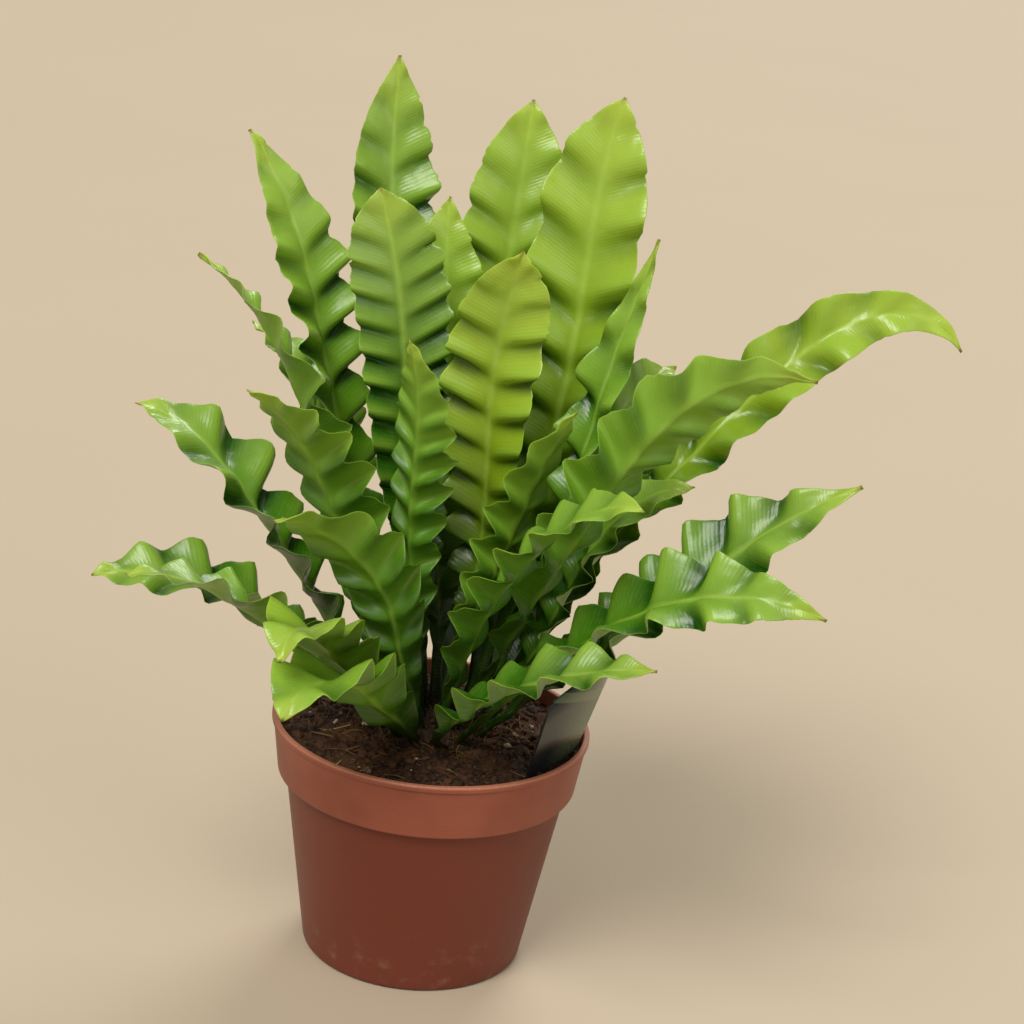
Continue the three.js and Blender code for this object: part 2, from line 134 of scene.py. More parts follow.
class Value:
    """A socket of a node tree. Arithmetic on it adds Math nodes, or Vector Math nodes for a vector."""

    def __init__(self, tree, socket=None):
        self.tree = tree
        self.socket = socket

    def new(self, kind, inputs=(), output=None, **settings):
        """Adds any other node: its settings first, then the values or the links of its sockets."""
        node = self.tree.nodes.new(kind)
        for name, setting in settings.items():
            setattr(node, name, setting)
        shown = [socket for socket in node.inputs if socket.enabled]
        named = inputs.items() if isinstance(inputs, dict) else zip((s.name for s in shown), inputs)
        used = []
        for name, value in named:
            socket = next(s for s in shown if s.name == name and s not in used)
            used.append(socket)
            if isinstance(value, Value):
                self.tree.links.new(value.socket, socket)
            else:
                socket.default_value = value
        return Value(self.tree, next(s for s in node.outputs if s.enabled and output in (None, s.name)))

    def feed(self, socket):
        self.tree.links.new(self.socket, socket)

    def other(self, name):
        """Another output of the same node."""
        return Value(self.tree, self.socket.node.outputs[name])

    def math(self, operation, *others):
        return self.new("ShaderNodeMath", (self, *others), operation=operation)

    def vector(self, operation, *others):
        return self.new("ShaderNodeVectorMath", (self, *others), operation=operation)

    def join(self, operation, first, second):
        """Two values put together, by a Vector Math node where one of them is a vector."""
        vectors = [v for v in (first, second) if isinstance(v, Value) and v.socket.type == "VECTOR"]
        if not vectors:
            return self.new("ShaderNodeMath", (first, second), operation=operation)
        if operation == "MULTIPLY" and len(vectors) == 1:
            inputs = {"Vector": vectors[0], "Scale": second if vectors[0] is first else first}
            return self.new("ShaderNodeVectorMath", inputs, operation="SCALE")
        return self.new("ShaderNodeVectorMath", (first, second), operation=operation)

    def __add__(self, other):
        return self.join("ADD", self, other)

    def __radd__(self, other):
        return self.join("ADD", other, self)

    def __sub__(self, other):
        return self.join("SUBTRACT", self, other)

    def __rsub__(self, other):
        return self.join("SUBTRACT", other, self)

    def __mul__(self, other):
        return self.join("MULTIPLY", self, other)

    def __rmul__(self, other):
        return self.join("MULTIPLY", other, self)

    def __truediv__(self, other):
        return self.join("DIVIDE", self, other)

    def __pow__(self, other):
        return self.join("POWER", self, other)

    def clamped(self):
        """This value, kept between 0 and 1."""
        return self.new("ShaderNodeMath", (self, 0), operation="ADD", use_clamp=True)

    def smooth(self, start, end):
        """0 before start, 1 after end, and a soft step between them."""
        inputs = {"Value": self, "From Min": start, "From Max": end}
        return self.new("ShaderNodeMapRange", inputs, interpolation_type="SMOOTHSTEP")

    def between(self, first, second):
        """first where this value is 0, and second where it is 1. Both are numbers."""
        return first + (second - first) * self

    def tint(self, first, second):
        """The colour first where this value is 0, and second where it is 1."""
        inputs = {"Factor": self, "A": first, "B": second}
        return self.new("ShaderNodeMix", inputs, data_type="RGBA", clamp_factor=True)

    def noise(self, scale, detail=2, roughness=0.5):
        """Noise from 0 to 1 over this vector, with scale features in a metre."""
        inputs = {"Vector": self, "Scale": scale, "Detail": detail, "Roughness": roughness}
        return self.new("ShaderNodeTexNoise", inputs)

    def part(self, axis):
        """One component of this vector, by the name of its axis."""
        return self.new("ShaderNodeSeparateXYZ", (self,), output=axis)


def finish(name, **constants):
    """A new material with these constants on its shader. Gives the material, the shader's sockets and a
    Value that its other nodes start from, the place in the object."""
    material = bpy.data.materials.new(name)
    material.use_nodes = True
    sockets = material.node_tree.nodes["Principled BSDF"].inputs
    for label, value in constants.items():
        sockets[label.replace("_", " ")].default_value = value
    place = Value(material.node_tree).new("ShaderNodeTexCoord", output="Object")
    return material, sockets, place


def satin_terracotta():
    material, shader, place = finish("satin_terracotta", Specular_IOR_Level=0.4)
    height = place.part("Z")
    clouds = place.noise(35, 3)
    grain = place.noise(900, 2)
    clay = clouds.smooth(0.35, 0.7).tint(srgb(148, 80, 60), srgb(134, 70, 51))
    # painted shade: the body below the band is darker, as if in shadow, and the foot has dust on it
    clay = (1 - height.smooth(band_foot - 2 * MM, band_foot)).tint(clay, srgb(112, 50, 34))
    dust = place.noise(120, 4, 0.65).smooth(0.5, 0.75) * (1 - height.smooth(0, 30 * MM))
    clay = (dust * 0.5).tint(clay, srgb(150, 120, 96))
    # a paler edge around the rim, painted as wear and as a highlight along its top
    wear_and_highlight = height.smooth(pot_height - 1.2 * MM, pot_height - 0.2 * MM) * (0.25 + 0.5 * grain)
    clay = wear_and_highlight.tint(clay, srgb(205, 140, 112))
    clay.feed(shader["Base Color"])
    (0.4 + 0.14 * clouds + 0.25 * dust).feed(shader["Roughness"])
    # faint rings from the mould around the wall, under a fine grain
    rings = (height * (2 * math.pi / MOULD_RING)).math("SINE")
    relief = rings * 0.25 + grain
    bump = place.new("ShaderNodeBump", {"Strength": 0.25, "Distance": 0.12 * MM, "Height": relief})
    bump.feed(shader["Normal"])
    return material


pot_outline = rounded([
    (0, 0, 0),
    (BASE_RADIUS, 0, CHAMFER),
    (BODY_RADIUS, band_foot, 0.5 * MM),
    (BAND_RADIUS, band_foot, 0.7 * MM),
    (pot_radius - LIP_PROUD, pot_height - LIP - LIP_PROUD, 0.5 * MM),
    (pot_radius, pot_height - LIP, 0.5 * MM),
    (pot_radius, pot_height, 0.8 * MM),
    (BAND_BORE[1], pot_height, 0.5 * MM),
    (BAND_BORE[0], ledge, 0.4 * MM),
    (BODY_RADIUS - WALL, ledge, 0.4 * MM),
    (BASE_RADIUS - WALL, FLOOR, 1 * MM),
    (0, FLOOR, 0),
])
pot = placed("nursery_pot", turned("nursery_pot", pot_outline, POT_SEGMENTS), None)
drills = bmesh.new()
for i in range(DRAIN_COUNT):
    spot = azimuth(360 * (i + 0.5) / DRAIN_COUNT) * DRAIN_RING
    bmesh.ops.create_cone(
        drills, cap_ends=True, segments=DRAIN_SEGMENTS, radius1=DRAIN_RADIUS, radius2=DRAIN_RADIUS,
        depth=4 * FLOOR, matrix=Matrix.Translation(spot))
drill_mesh = bpy.data.meshes.new("drills")
drills.to_mesh(drill_mesh)
drills.free()
drill_tool = bpy.data.objects.new("drills", drill_mesh)
bpy.context.scene.collection.objects.link(drill_tool)
cut = pot.modifiers.new("drains", "BOOLEAN")
cut.operation = "DIFFERENCE"
cut.object = drill_tool
cut.solver = "EXACT"
bpy.context.view_layer.update()
depsgraph = bpy.context.evaluated_depsgraph_get()
pot.data = bpy.data.meshes.new_from_object(pot.evaluated_get(depsgraph))
pot.modifiers.clear()
bpy.data.objects.remove(drill_tool)
pot.data.materials.clear()
pot.data.materials.append(satin_terracotta())
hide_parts("pot")

# The soil
# Moist peat that fills the pot to just below its rim: a low mound of dark crumbs with
# straw-coloured fibres and a few pale flecks lying on it.
SOIL_LEVEL = 87 * MM
SOIL_MOUND = 3 * MM
SOIL_GAP = 0.3 * MM
SOIL_EDGE = SOIL_LEVEL - 3.5 * MM  # lower than any hollow of its surface
HUMP_HEIGHT = 0.8 * MM
RIPPLE_HEIGHT = 0.5 * MM
CLOD_SIZE = 5 * MM
CLOD_HEIGHT = 0.9 * MM
STREWN_FROM = SOIL_LEVEL - 3 * MM  # crumbs and fibres lie on the surface above this height
CROWN_RADIUS = 24 * MM
SOIL_SEGMENTS = 150
SOIL_RING_COUNT = 44
CRUMBS_PER_M2 = 220000
CRUMB_RADII = (0.35 * MM, 2.3 * MM)
FIBRES_PER_M2 = 80000
FIBRE_REACH = (1.2 * MM, 6.5 * MM)

bore = BAND_BORE[0] + (BAND_BORE[1] - BAND_BORE[0]) * (SOIL_LEVEL - ledge) / (pot_height - ledge)
soil_edge = bore - SOIL_GAP


def soil_height(x, y):
    """The height of the soil's surface: a low mound with humps, ripples and clods."""
    out = min(max((math.hypot(x, y) - CROWN_RADIUS) / (bore - CROWN_RADIUS), 0), 1)
    mound = SOIL_MOUND * (1 - out * out * (3 - 2 * out))
    humps = HUMP_HEIGHT * math.sin(0.31 * x / MM + 1.3) * math.sin(0.27 * y / MM + 0.4)
    ripple = RIPPLE_HEIGHT * math.sin((0.63 * x - 0.5 * y) / MM)
    clods = noise.fractal(Vector((x, y, 0)) / CLOD_SIZE, 0.7, 2.1, 5) * CLOD_HEIGHT
    return SOIL_LEVEL + mound + humps + ripple + clods


def new_tree(name, **inputs):
    """A new geometry node tree, and a Value for each of its inputs, the geometry and the named ones."""
    tree = bpy.data.node_groups.new(name, "GeometryNodeTree")
    tree.interface.new_socket("Geometry", in_out="OUTPUT", socket_type="NodeSocketGeometry")
    tree.interface.new_socket("Geometry", in_out="INPUT", socket_type="NodeSocketGeometry")
    for label, kind in inputs.items():
        tree.interface.new_socket(label, in_out="INPUT", socket_type="NodeSocket" + kind)
    group = tree.nodes.new("NodeGroupInput")
    return tree, {socket.name: Value(tree, socket) for socket in group.outputs if socket.name}


def close_tree(shape, material):
    """Ends a tree: its instances become real, get the finish and leave by the output."""
    shape = shape.new("GeometryNodeRealizeInstances", (shape,))
    shape = shape.new("GeometryNodeSetShadeSmooth", {"Geometry": shape, "Shade Smooth": True})
    shape = shape.new("GeometryNodeSetMaterial", {"Geometry": shape, "Material": material})
    group = shape.tree.nodes.new("NodeGroupOutput")
    shape.feed(group.inputs["Geometry"])


def grown(name, source, tree, **settings):
    """The plain mesh that a tree makes out of an object's shape, as a new piece."""
    modifier = source.modifiers.new(name, "NODES")
    modifier.node_group = tree
    for label, value in settings.items():
        modifier[tree.interface.items_tree[label].identifier] = value
    bpy.context.view_layer.update()
    depsgraph = bpy.context.evaluated_depsgraph_get()
    mesh = bpy.data.meshes.new_from_object(source.evaluated_get(depsgraph))
    mesh.name = name
    source.modifiers.remove(modifier)
    return placed(name, mesh, None)


def stored(shape, name, value, domain="POINT"):
    """The shape with a value kept on it as an attribute that its finish can read."""
    inputs = {"Geometry": shape, "Name": name, "Value": value}
    return shape.new("GeometryNodeStoreNamedAttribute", inputs, domain=domain, data_type="FLOAT")


def random_value(shape, low, high, seed):
    inputs = {"Min": low, "Max": high, "Seed": seed}
    return shape.new("FunctionNodeRandomValue", inputs, data_type="FLOAT")


def strewn(name, make_clump, seed):
    """A tree that strews a clump's copies over the top of its geometry, each turned at random."""
    tree, size = new_tree(name, Density="Float", Shortest="Float", Longest="Float", Finish="Material")
    soil = size["Geometry"]
    clump = make_clump(soil)
    upward = soil.new("GeometryNodeInputNormal", output="Normal").part("Z").math("GREATER_THAN", 0.3)
    place = soil.new("GeometryNodeInputPosition")
    high = place.part("Z").math("GREATER_THAN", STREWN_FROM)
    reach = (place * soil.new("ShaderNodeCombineXYZ", (1.0, 1.0, 0.0))).vector("LENGTH")
    inside = reach.math("LESS_THAN", soil_edge - size["Longest"])
    chosen = upward * high * inside
    inputs = {"Mesh": soil, "Selection": chosen, "Density": size["Density"], "Seed": seed}
    points = soil.new("GeometryNodeDistributePointsOnFaces", inputs, distribute_method="RANDOM")
    lengths = random_value(soil, 0.0, 1.0, seed + 1) ** 3
    scale = lengths.between(size["Shortest"], size["Longest"])
    tilt = random_value(soil, -0.5, 0.5, seed + 2)
    turn = random_value(soil, 0.0, 2 * math.pi, seed + 3)
    roll = random_value(soil, -0.5, 0.5, seed + 4)
    angles = soil.new("ShaderNodeCombineXYZ", (tilt, roll, turn))
    flat = random_value(soil, 0.45, 1.0, seed + 5)
    narrow = random_value(soil, 0.5, 1.0, seed + 6)
    sizes = soil.new("ShaderNodeCombineXYZ", (scale, scale * narrow, scale * flat))
    inputs = {"Points": points, "Instance": clump, "Rotation": angles, "Scale": sizes}
    copies = soil.new("GeometryNodeInstanceOnPoints", inputs)
    tone = random_value(soil, 0.0, 1.0, seed + 7)
    close_tree(stored(copies, "tone", tone, "INSTANCE"), size["Finish"])
    return tree


def crumb(start):
    """A lumpy crumb of peat of radius 1."""
    ball = start.new("GeometryNodeMeshIcoSphere", {"Radius": 1.0, "Subdivisions": 2}, output="Mesh")
    place = start.new("GeometryNodeInputPosition")
    lumps = place.noise(1.9, 3, 0.7) - 0.5
    return start.new("GeometryNodeSetPosition", {"Geometry": ball, "Offset": place * (lumps * 2.4)})


def fibre(start):
    """A short bent fibre that reaches 1 to each side of its middle."""
    inputs = {"Resolution": 6, "Start": (-1, 0, 0), "Middle": (0.1, 0.6, 0.35), "End": (1, -0.15, 0.1)}
    bend = start.new("GeometryNodeCurveQuadraticBezier", inputs)
    inputs = {"Resolution": 5, "Radius": 0.045}
    section = start.new("GeometryNodeCurvePrimitiveCircle", inputs, output="Curve")
    inputs = {"Curve": bend, "Profile Curve": section, "Fill Caps": True}
    return start.new("GeometryNodeCurveToMesh", inputs)


def peat():
    material, shader, place = finish("peat", Specular_IOR_Level=0.3)
    clods = place.noise(220, 5, 0.7)
    fine = place.noise(1500, 3, 0.6)
    dry = place.noise(60, 3)
    brown = clods.smooth(0.35, 0.65).tint(srgb(36, 22, 15), srgb(88, 56, 36))
    brown = (dry.smooth(0.48, 0.7) * 0.6).tint(brown, srgb(104, 76, 50))
    straw = fine.smooth(0.58, 0.72) * clods.smooth(0.4, 0.6)
    (straw * 0.7).tint(brown, srgb(134, 102, 64)).feed(shader["Base Color"])
    (0.95 - 0.25 * fine).feed(shader["Roughness"])
    bump = place.new("ShaderNodeBump", {"Strength": 1.0, "Distance": 1.2 * MM, "Height": clods + 0.5 * fine})
    bump.feed(shader["Normal"])
    return material


def crumb_finish(name, dark, light, pale):
    """The finish of small loose pieces: each has a tone of its own, and a few of them are pale."""
    material, shader, place = finish(name, Specular_IOR_Level=0.3)
    tone = place.new("ShaderNodeAttribute", output="Fac", attribute_name="tone")
    speckle = place.noise(1400, 3, 0.6)
    dry = place.noise(60, 3).smooth(0.45, 0.7)
    color = (tone * 0.5 + 0.5 * dry + 0.5 * (speckle - 0.4)).tint(dark, light)
    tone.smooth(0.97, 0.98).tint(color, pale).feed(shader["Base Color"])
    (0.9 - 0.2 * speckle).feed(shader["Roughness"])
    bump = place.new("ShaderNodeBump", {"Strength": 0.6, "Distance": 0.2 * MM, "Height": speckle})
    bump.feed(shader["Normal"])
    return material


soil_rings = [soil_edge * (1 - k / SOIL_RING_COUNT) for k in range(SOIL_RING_COUNT)]
soil_outline = [
    (0, FLOOR + SOIL_GAP),
    (BASE_RADIUS - WALL - SOIL_GAP, FLOOR + SOIL_GAP),
    (BODY_RADIUS - WALL - SOIL_GAP, ledge + SOIL_GAP),
    (BAND_BORE[0] - SOIL_GAP, ledge + SOIL_GAP),
    (soil_edge - 0.1 * MM, SOIL_EDGE),
    *((radius, SOIL_LEVEL) for radius in soil_rings),
    (0, SOIL_LEVEL),
]
soil_mesh = turned("soil_bed", soil_outline, SOIL_SEGMENTS)
for vertex in soil_mesh.vertices:
    if vertex.co.z > SOIL_LEVEL - 0.01 * MM:
        vertex.co.z = soil_height(vertex.co.x, vertex.co.y)
soil = placed("soil_bed", soil_mesh, peat())
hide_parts("soil")

crumbs = grown(
    "soil_crumbs", soil, strewn("crumbs", crumb, seed=11), Density=CRUMBS_PER_M2,
    Shortest=CRUMB_RADII[0], Longest=CRUMB_RADII[1],
    Finish=crumb_finish("peat_crumbs", srgb(38, 24, 16), srgb(108, 70, 44), srgb(196, 178, 146)))
fibres = grown(
    "soil_fibres", soil, strewn("fibres", fibre, seed=31), Density=FIBRES_PER_M2,
    Shortest=FIBRE_REACH[0], Longest=FIBRE_REACH[1],
    Finish=crumb_finish("peat_fibres", srgb(48, 32, 20), srgb(168, 130, 78), srgb(205, 184, 140)))

# The crown
# The short rootstock in the middle of the rosette, a dark knob that all the stalks grow from.
# It is clad in narrow, papery brown scales that point up between the stalks.
CROWN_TOP = 96 * MM
CROWN_DROP = 5 * MM
CROWN_FOOT = 80 * MM
CROWN_BEVEL = 4 * MM
CROWN_ROUGH_FROM = CROWN_FOOT + 5 * MM
CROWN_LUMP_SIZE = 6 * MM
CROWN_LUMP_HEIGHT = 0.7 * MM
CROWN_SINK = 0.5 * MM  # of the rough top below the smooth one
CROWN_RING_COUNT = 16
CROWN_SEGMENTS = 48
SCALES_PER_M2 = 190000
SCALE_LENGTH = 6 * MM


def crown_height(radius):
    """The height of the crown's domed top at a radius."""
    return CROWN_TOP - CROWN_DROP * (radius / CROWN_RADIUS) ** 2


def scale_tree():
    """A tree that stands narrow pointed scales on the crown, leaning every way."""
    tree, size = new_tree("crown_scales", Density="Float", Length="Float", Seed="Int", Finish="Material")
    start = size["Geometry"]
    upward = start.new("GeometryNodeInputNormal", output="Normal").part("Z").math("GREATER_THAN", 0.2)
    inputs = {"Mesh": start, "Selection": upward, "Density": size["Density"], "Seed": size["Seed"]}
    points = start.new("GeometryNodeDistributePointsOnFaces", inputs, distribute_method="RANDOM")
    inputs = {"Vertices": 4, "Side Segments": 3, "Radius Top": 0.0, "Radius Bottom": 0.1, "Depth": 1.0}
    spike = start.new("GeometryNodeMeshCone", inputs, output="Mesh")
    tilt = random_value(start, -0.8, 0.8, 51)
    roll = random_value(start, -0.8, 0.8, 52)
    turn = random_value(start, 0.0, 6.28, 53)
    angles = start.new("ShaderNodeCombineXYZ", (tilt, roll, turn))
    length = size["Length"] * random_value(start, 0.5, 1.0, 54)
    sizes = start.new("ShaderNodeCombineXYZ", (length, length * 0.4, length))
    inputs = {"Points": points, "Instance": spike, "Rotation": angles, "Scale": sizes}
    copies = start.new("GeometryNodeInstanceOnPoints", inputs)
    tone = random_value(start, 0.0, 1.0, 55)
    close_tree(stored(copies, "tone", tone, "INSTANCE"), size["Finish"])
    return tree


def rootstock():
    material, shader, place = finish("rootstock", Specular_IOR_Level=0.3)
    fibres = place.noise(500, 4, 0.65)
    fibres.smooth(0.35, 0.7).tint(srgb(28, 20, 12), srgb(70, 52, 32)).feed(shader["Base Color"])
    (0.95 - 0.2 * fibres).feed(shader["Roughness"])
    bump = place.new("ShaderNodeBump", {"Strength": 0.9, "Distance": 0.6 * MM, "Height": fibres})
    bump.feed(shader["Normal"])
    return material


crown_radii = [CROWN_RADIUS * (1 - k / CROWN_RING_COUNT) for k in range(CROWN_RING_COUNT)]
crown_outline = [
    (0, CROWN_FOOT),
    (CROWN_RADIUS, CROWN_FOOT + CROWN_BEVEL),
    (CROWN_RADIUS, crown_height(CROWN_RADIUS) - 1 * MM),
    *((radius, crown_height(radius)) for radius in crown_radii[1:]),
    (0, CROWN_TOP),
]
crown_mesh = turned("rootstock", crown_outline, CROWN_SEGMENTS)
for vertex in crown_mesh.vertices:
    if vertex.co.z > CROWN_ROUGH_FROM:
        lump = noise.fractal(vertex.co / CROWN_LUMP_SIZE, 0.8, 2.0, 4)
        vertex.co.z += lump * CROWN_LUMP_HEIGHT - CROWN_SINK
crown = placed("rootstock", crown_mesh, rootstock())
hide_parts("crown")
scales = grown(
    "crown_scales", crown, scale_tree(), Density=SCALES_PER_M2, Length=SCALE_LENGTH, Seed=5,
    Finish=crumb_finish("papery_scales", srgb(34, 24, 14), srgb(96, 66, 38), srgb(120, 92, 58)))

# The fronds
# Each one is a single leathery leaf on a short dark stalk, with a raised pale midrib. Its two halves
# are thrown into deep slanting pleats, and their margins wave. All of them grow out of the crown.
RING_RADII = (6 * MM, 13 * MM, 20 * MM)  # where the stalks stand on the crown, from the middle out
ROOT_DEPTH = 6 * MM
STALK_HALF_WIDTH = 2.1 * MM
STALK_THICKNESS = 2.8 * MM
# shares are of the frond's length from its root, where nothing else is said
STALK_ENDS = (0.03, 0.25)
BLADE_THICKNESS = 0.75 * MM
RIB_RISE = 0.75 * MM  # how far the midrib stands out of the lower face
RIB_RISE_ABOVE = 0.35  # of that, out of the upper face
RIB_HALF_WIDTH = 1.5 * MM
RIB_THINS = (0.6, 0.7)  # how much narrower and lower the midrib is at the tip
TIP_HALF_WIDTH = 0.6 * MM
BLADE_FROM = (0.18, 0.1, 0.05)  # on each ring: the inner stalks stay narrow for longer
WIDEST = 0.74
OPENING = 2.2  # more for a blade that reaches its full width sooner
HANDLE_AT_ROOT = 0.38  # of the straight distance from root to tip
HANDLE_AT_TIP = 0.28
TROUGH = math.radians(22)  # how steeply the halves rise from the midrib
TROUGH_GROWS = (0.03, 0.3)
TROUGH_FLATTENS = 0.6  # from here to the tip, and by this share
SLANT = 0.45  # how much nearer to the tip a pleat ends at the margin, of the half width
SLANT_GROWS = (0.03, 0.2)
WAVE_RISE = 0.25  # of the wave's length
WAVES_GROW = (0.06, 0.35)
WAVES_DIE = (0.6, 0.97)
CALM = 0.8  # how much lower the waves are past that
SCALLOP = 0.12  # of the half width
SWAY = 2.5 * MM  # of the midrib, from side to side
SWAY_PACE = 7.5  # its angle over the whole length, in radians
SWAY_GROWS = (0.1, 0.5)
TURN_FROM = 0.2  # the blade starts to turn about its midrib here
UNEVEN_LENGTH = 0.14  # how far the waves drift from an even count
UNEVEN_HEIGHT = 0.2
UNEVEN_PACES = (0.05, 0.09)  # of the drift and of the height, in radians a millimetre
SEED_STEPS = (2.4, 1.7)  # radians from one frond's sway, drift and swell to the next one's
PLEAT_FULLNESS = 2.0  # 1 for a pleat that rises evenly from the midrib, more for one that rises at once
PLEAT_SKEW = 0.4  # 0 for even pleats, more for a short steep side towards the root
CRIMP = 0.05  # of the wave's length: the margin's own small ripple
CRIMP_PACE = 2.3  # its ripples to a wave
UNEVEN = 0.12  # of the wave's length: how much the blade's surface strays
NIBBLE = 0.22  # of the half width: the notches of a ragged margin near the tip
VEIN_SPACING = 1.3  # in millimetres
ROWS_PER_WAVE = 12
COLUMNS = 57  # around the blade, down one face and back along the other
MERGE_DISTANCE = 0.002 * MM  # the two faces are joined where they meet

# ring and azimuth of the root, lean, tip, heading and climb at the tip, width, turn at the root and
# at the tip, taper, length of a wave, and tone, from 0 for a young yellow frond to 1 for a dark old one.
# Lengths are in millimetres and angles in degrees.
FRONDS = [
    (0, 25, 8, (15, -12, 278), -80, 68, 35, (20, 60), 4.2, 14, 0.0),
    (0, 128, 9, (-37, 14, 290), 150, 75, 36, (0, -30), 5, 11.5, 0.85),
    (0, -140, 14, (-22, -32, 248), -130, 65, 25, (20, 16), 2, 13, 0.5),
    (0, -58, 15, (42, -30, 228), -29, 57, 22, (0, 9), 2, 15, 0.3),

    (1, 89, 13, (-10, 39, 284), 72, 69, 33, (20, 6), 2.4, 13, 0.25),
    (1, 127, 19, (-35, 63, 330), 114, 80, 35, (24, -22), 2.5, 18, 0.65),
    (1, 60, 20, (14, 68, 318), 60, 75, 39, (28, 30), 3.4, 16, 0.2),
    (1, 28, 22, (51, 45, 325), 30, 72, 41, (28, 50), 3.6, 21, 0.15),
    (1, -7, 26, (62, 0, 285), 0, 80, 20, (10, 80), 1, 20, 0.45),
    (1, -46, 30, (120, -44, 250), -7, -8, 32, (20, -58), 1.4, 20, 0.35),
    (1, -77, 28, (63, -81, 209), -42, 4, 28, (32, 48), 1.6, 18, 0.6),
    (1, -109, 31, (-58, -72, 192), -137, 2, 30, (30, 19), 1.8, 17, 0.6),
    (1, -146, 27, (-74, -52, 230), -150, 25, 36, (28, 16), 2, 17, 0.5),
    (1, -178, 28, (-98, 0, 263), 178, 30, 34, (26, 10), 1.4, 19, 0.45),
    (1, 154, 24, (-87, 34, 302), 152, 50, 32, (24, -30), 1.6, 18, 0.4),

    (2, 8, 23, (177, 12, 250), -15, -50, 27, (19, 70), 1.7, 24, 0.15),
    (2, 31, 38, (128, 50, 236), 18, 5, 30, (26, 0), 0.8, 20, 0.5),
    (2, 56, 40, (84, 92, 212), 45, -10, 36, (26, 30), 1.6, 19, 0.65),
    (2, -28, 45, (142, -38, 212), 0, 32, 37, (20, 58), 1, 22, 0.75),
    (2, -57, 43, (128, -92, 184), -16, -24, 33, (25, 60), 1.1, 19, 0.6),
    (2, -85, 52, (72, -102, 160), -25, 2, 27, (29, 46), 1.2, 20, 0.8),
    (2, -106, 46, (-48, -102, 132), -97, -54, 35, (30, -1), 2, 20, 0.35),
    (2, -153, 46, (-110, -58, 162), -167, -2, 31, (30, 0), 1.6, 19, 0.7),
    (2, -174, 46, (-128, -18, 146), -170, -20, 33, (23, -25), 1.6, 21, 0.75),
    (2, 166, 42, (-122, 26, 196), 168, 0, 36, (24, -20), 1.5, 21, 0.7),
    (2, 140, 42, (-84, 88, 216), 136, 0, 36, (24, 6), 1.6, 19, 0.75),
    (2, 112, 40, (-38, 118, 224), 108, -5, 36, (26, 25), 1.7, 20, 0.7),
    (2, 83, 42, (34, 120, 200), 78, -12, 34, (26, 10), 1.6, 21, 0.8),
    (2, -126, 41, (-54, -95, 150), -100, -63, 32, (30, 2), 2.2, 18, 0.25),
    (2, -10, 33, (86, -13, 200), -11, 12, 24, (23, 35), 1.6, 18, 0.5),
]


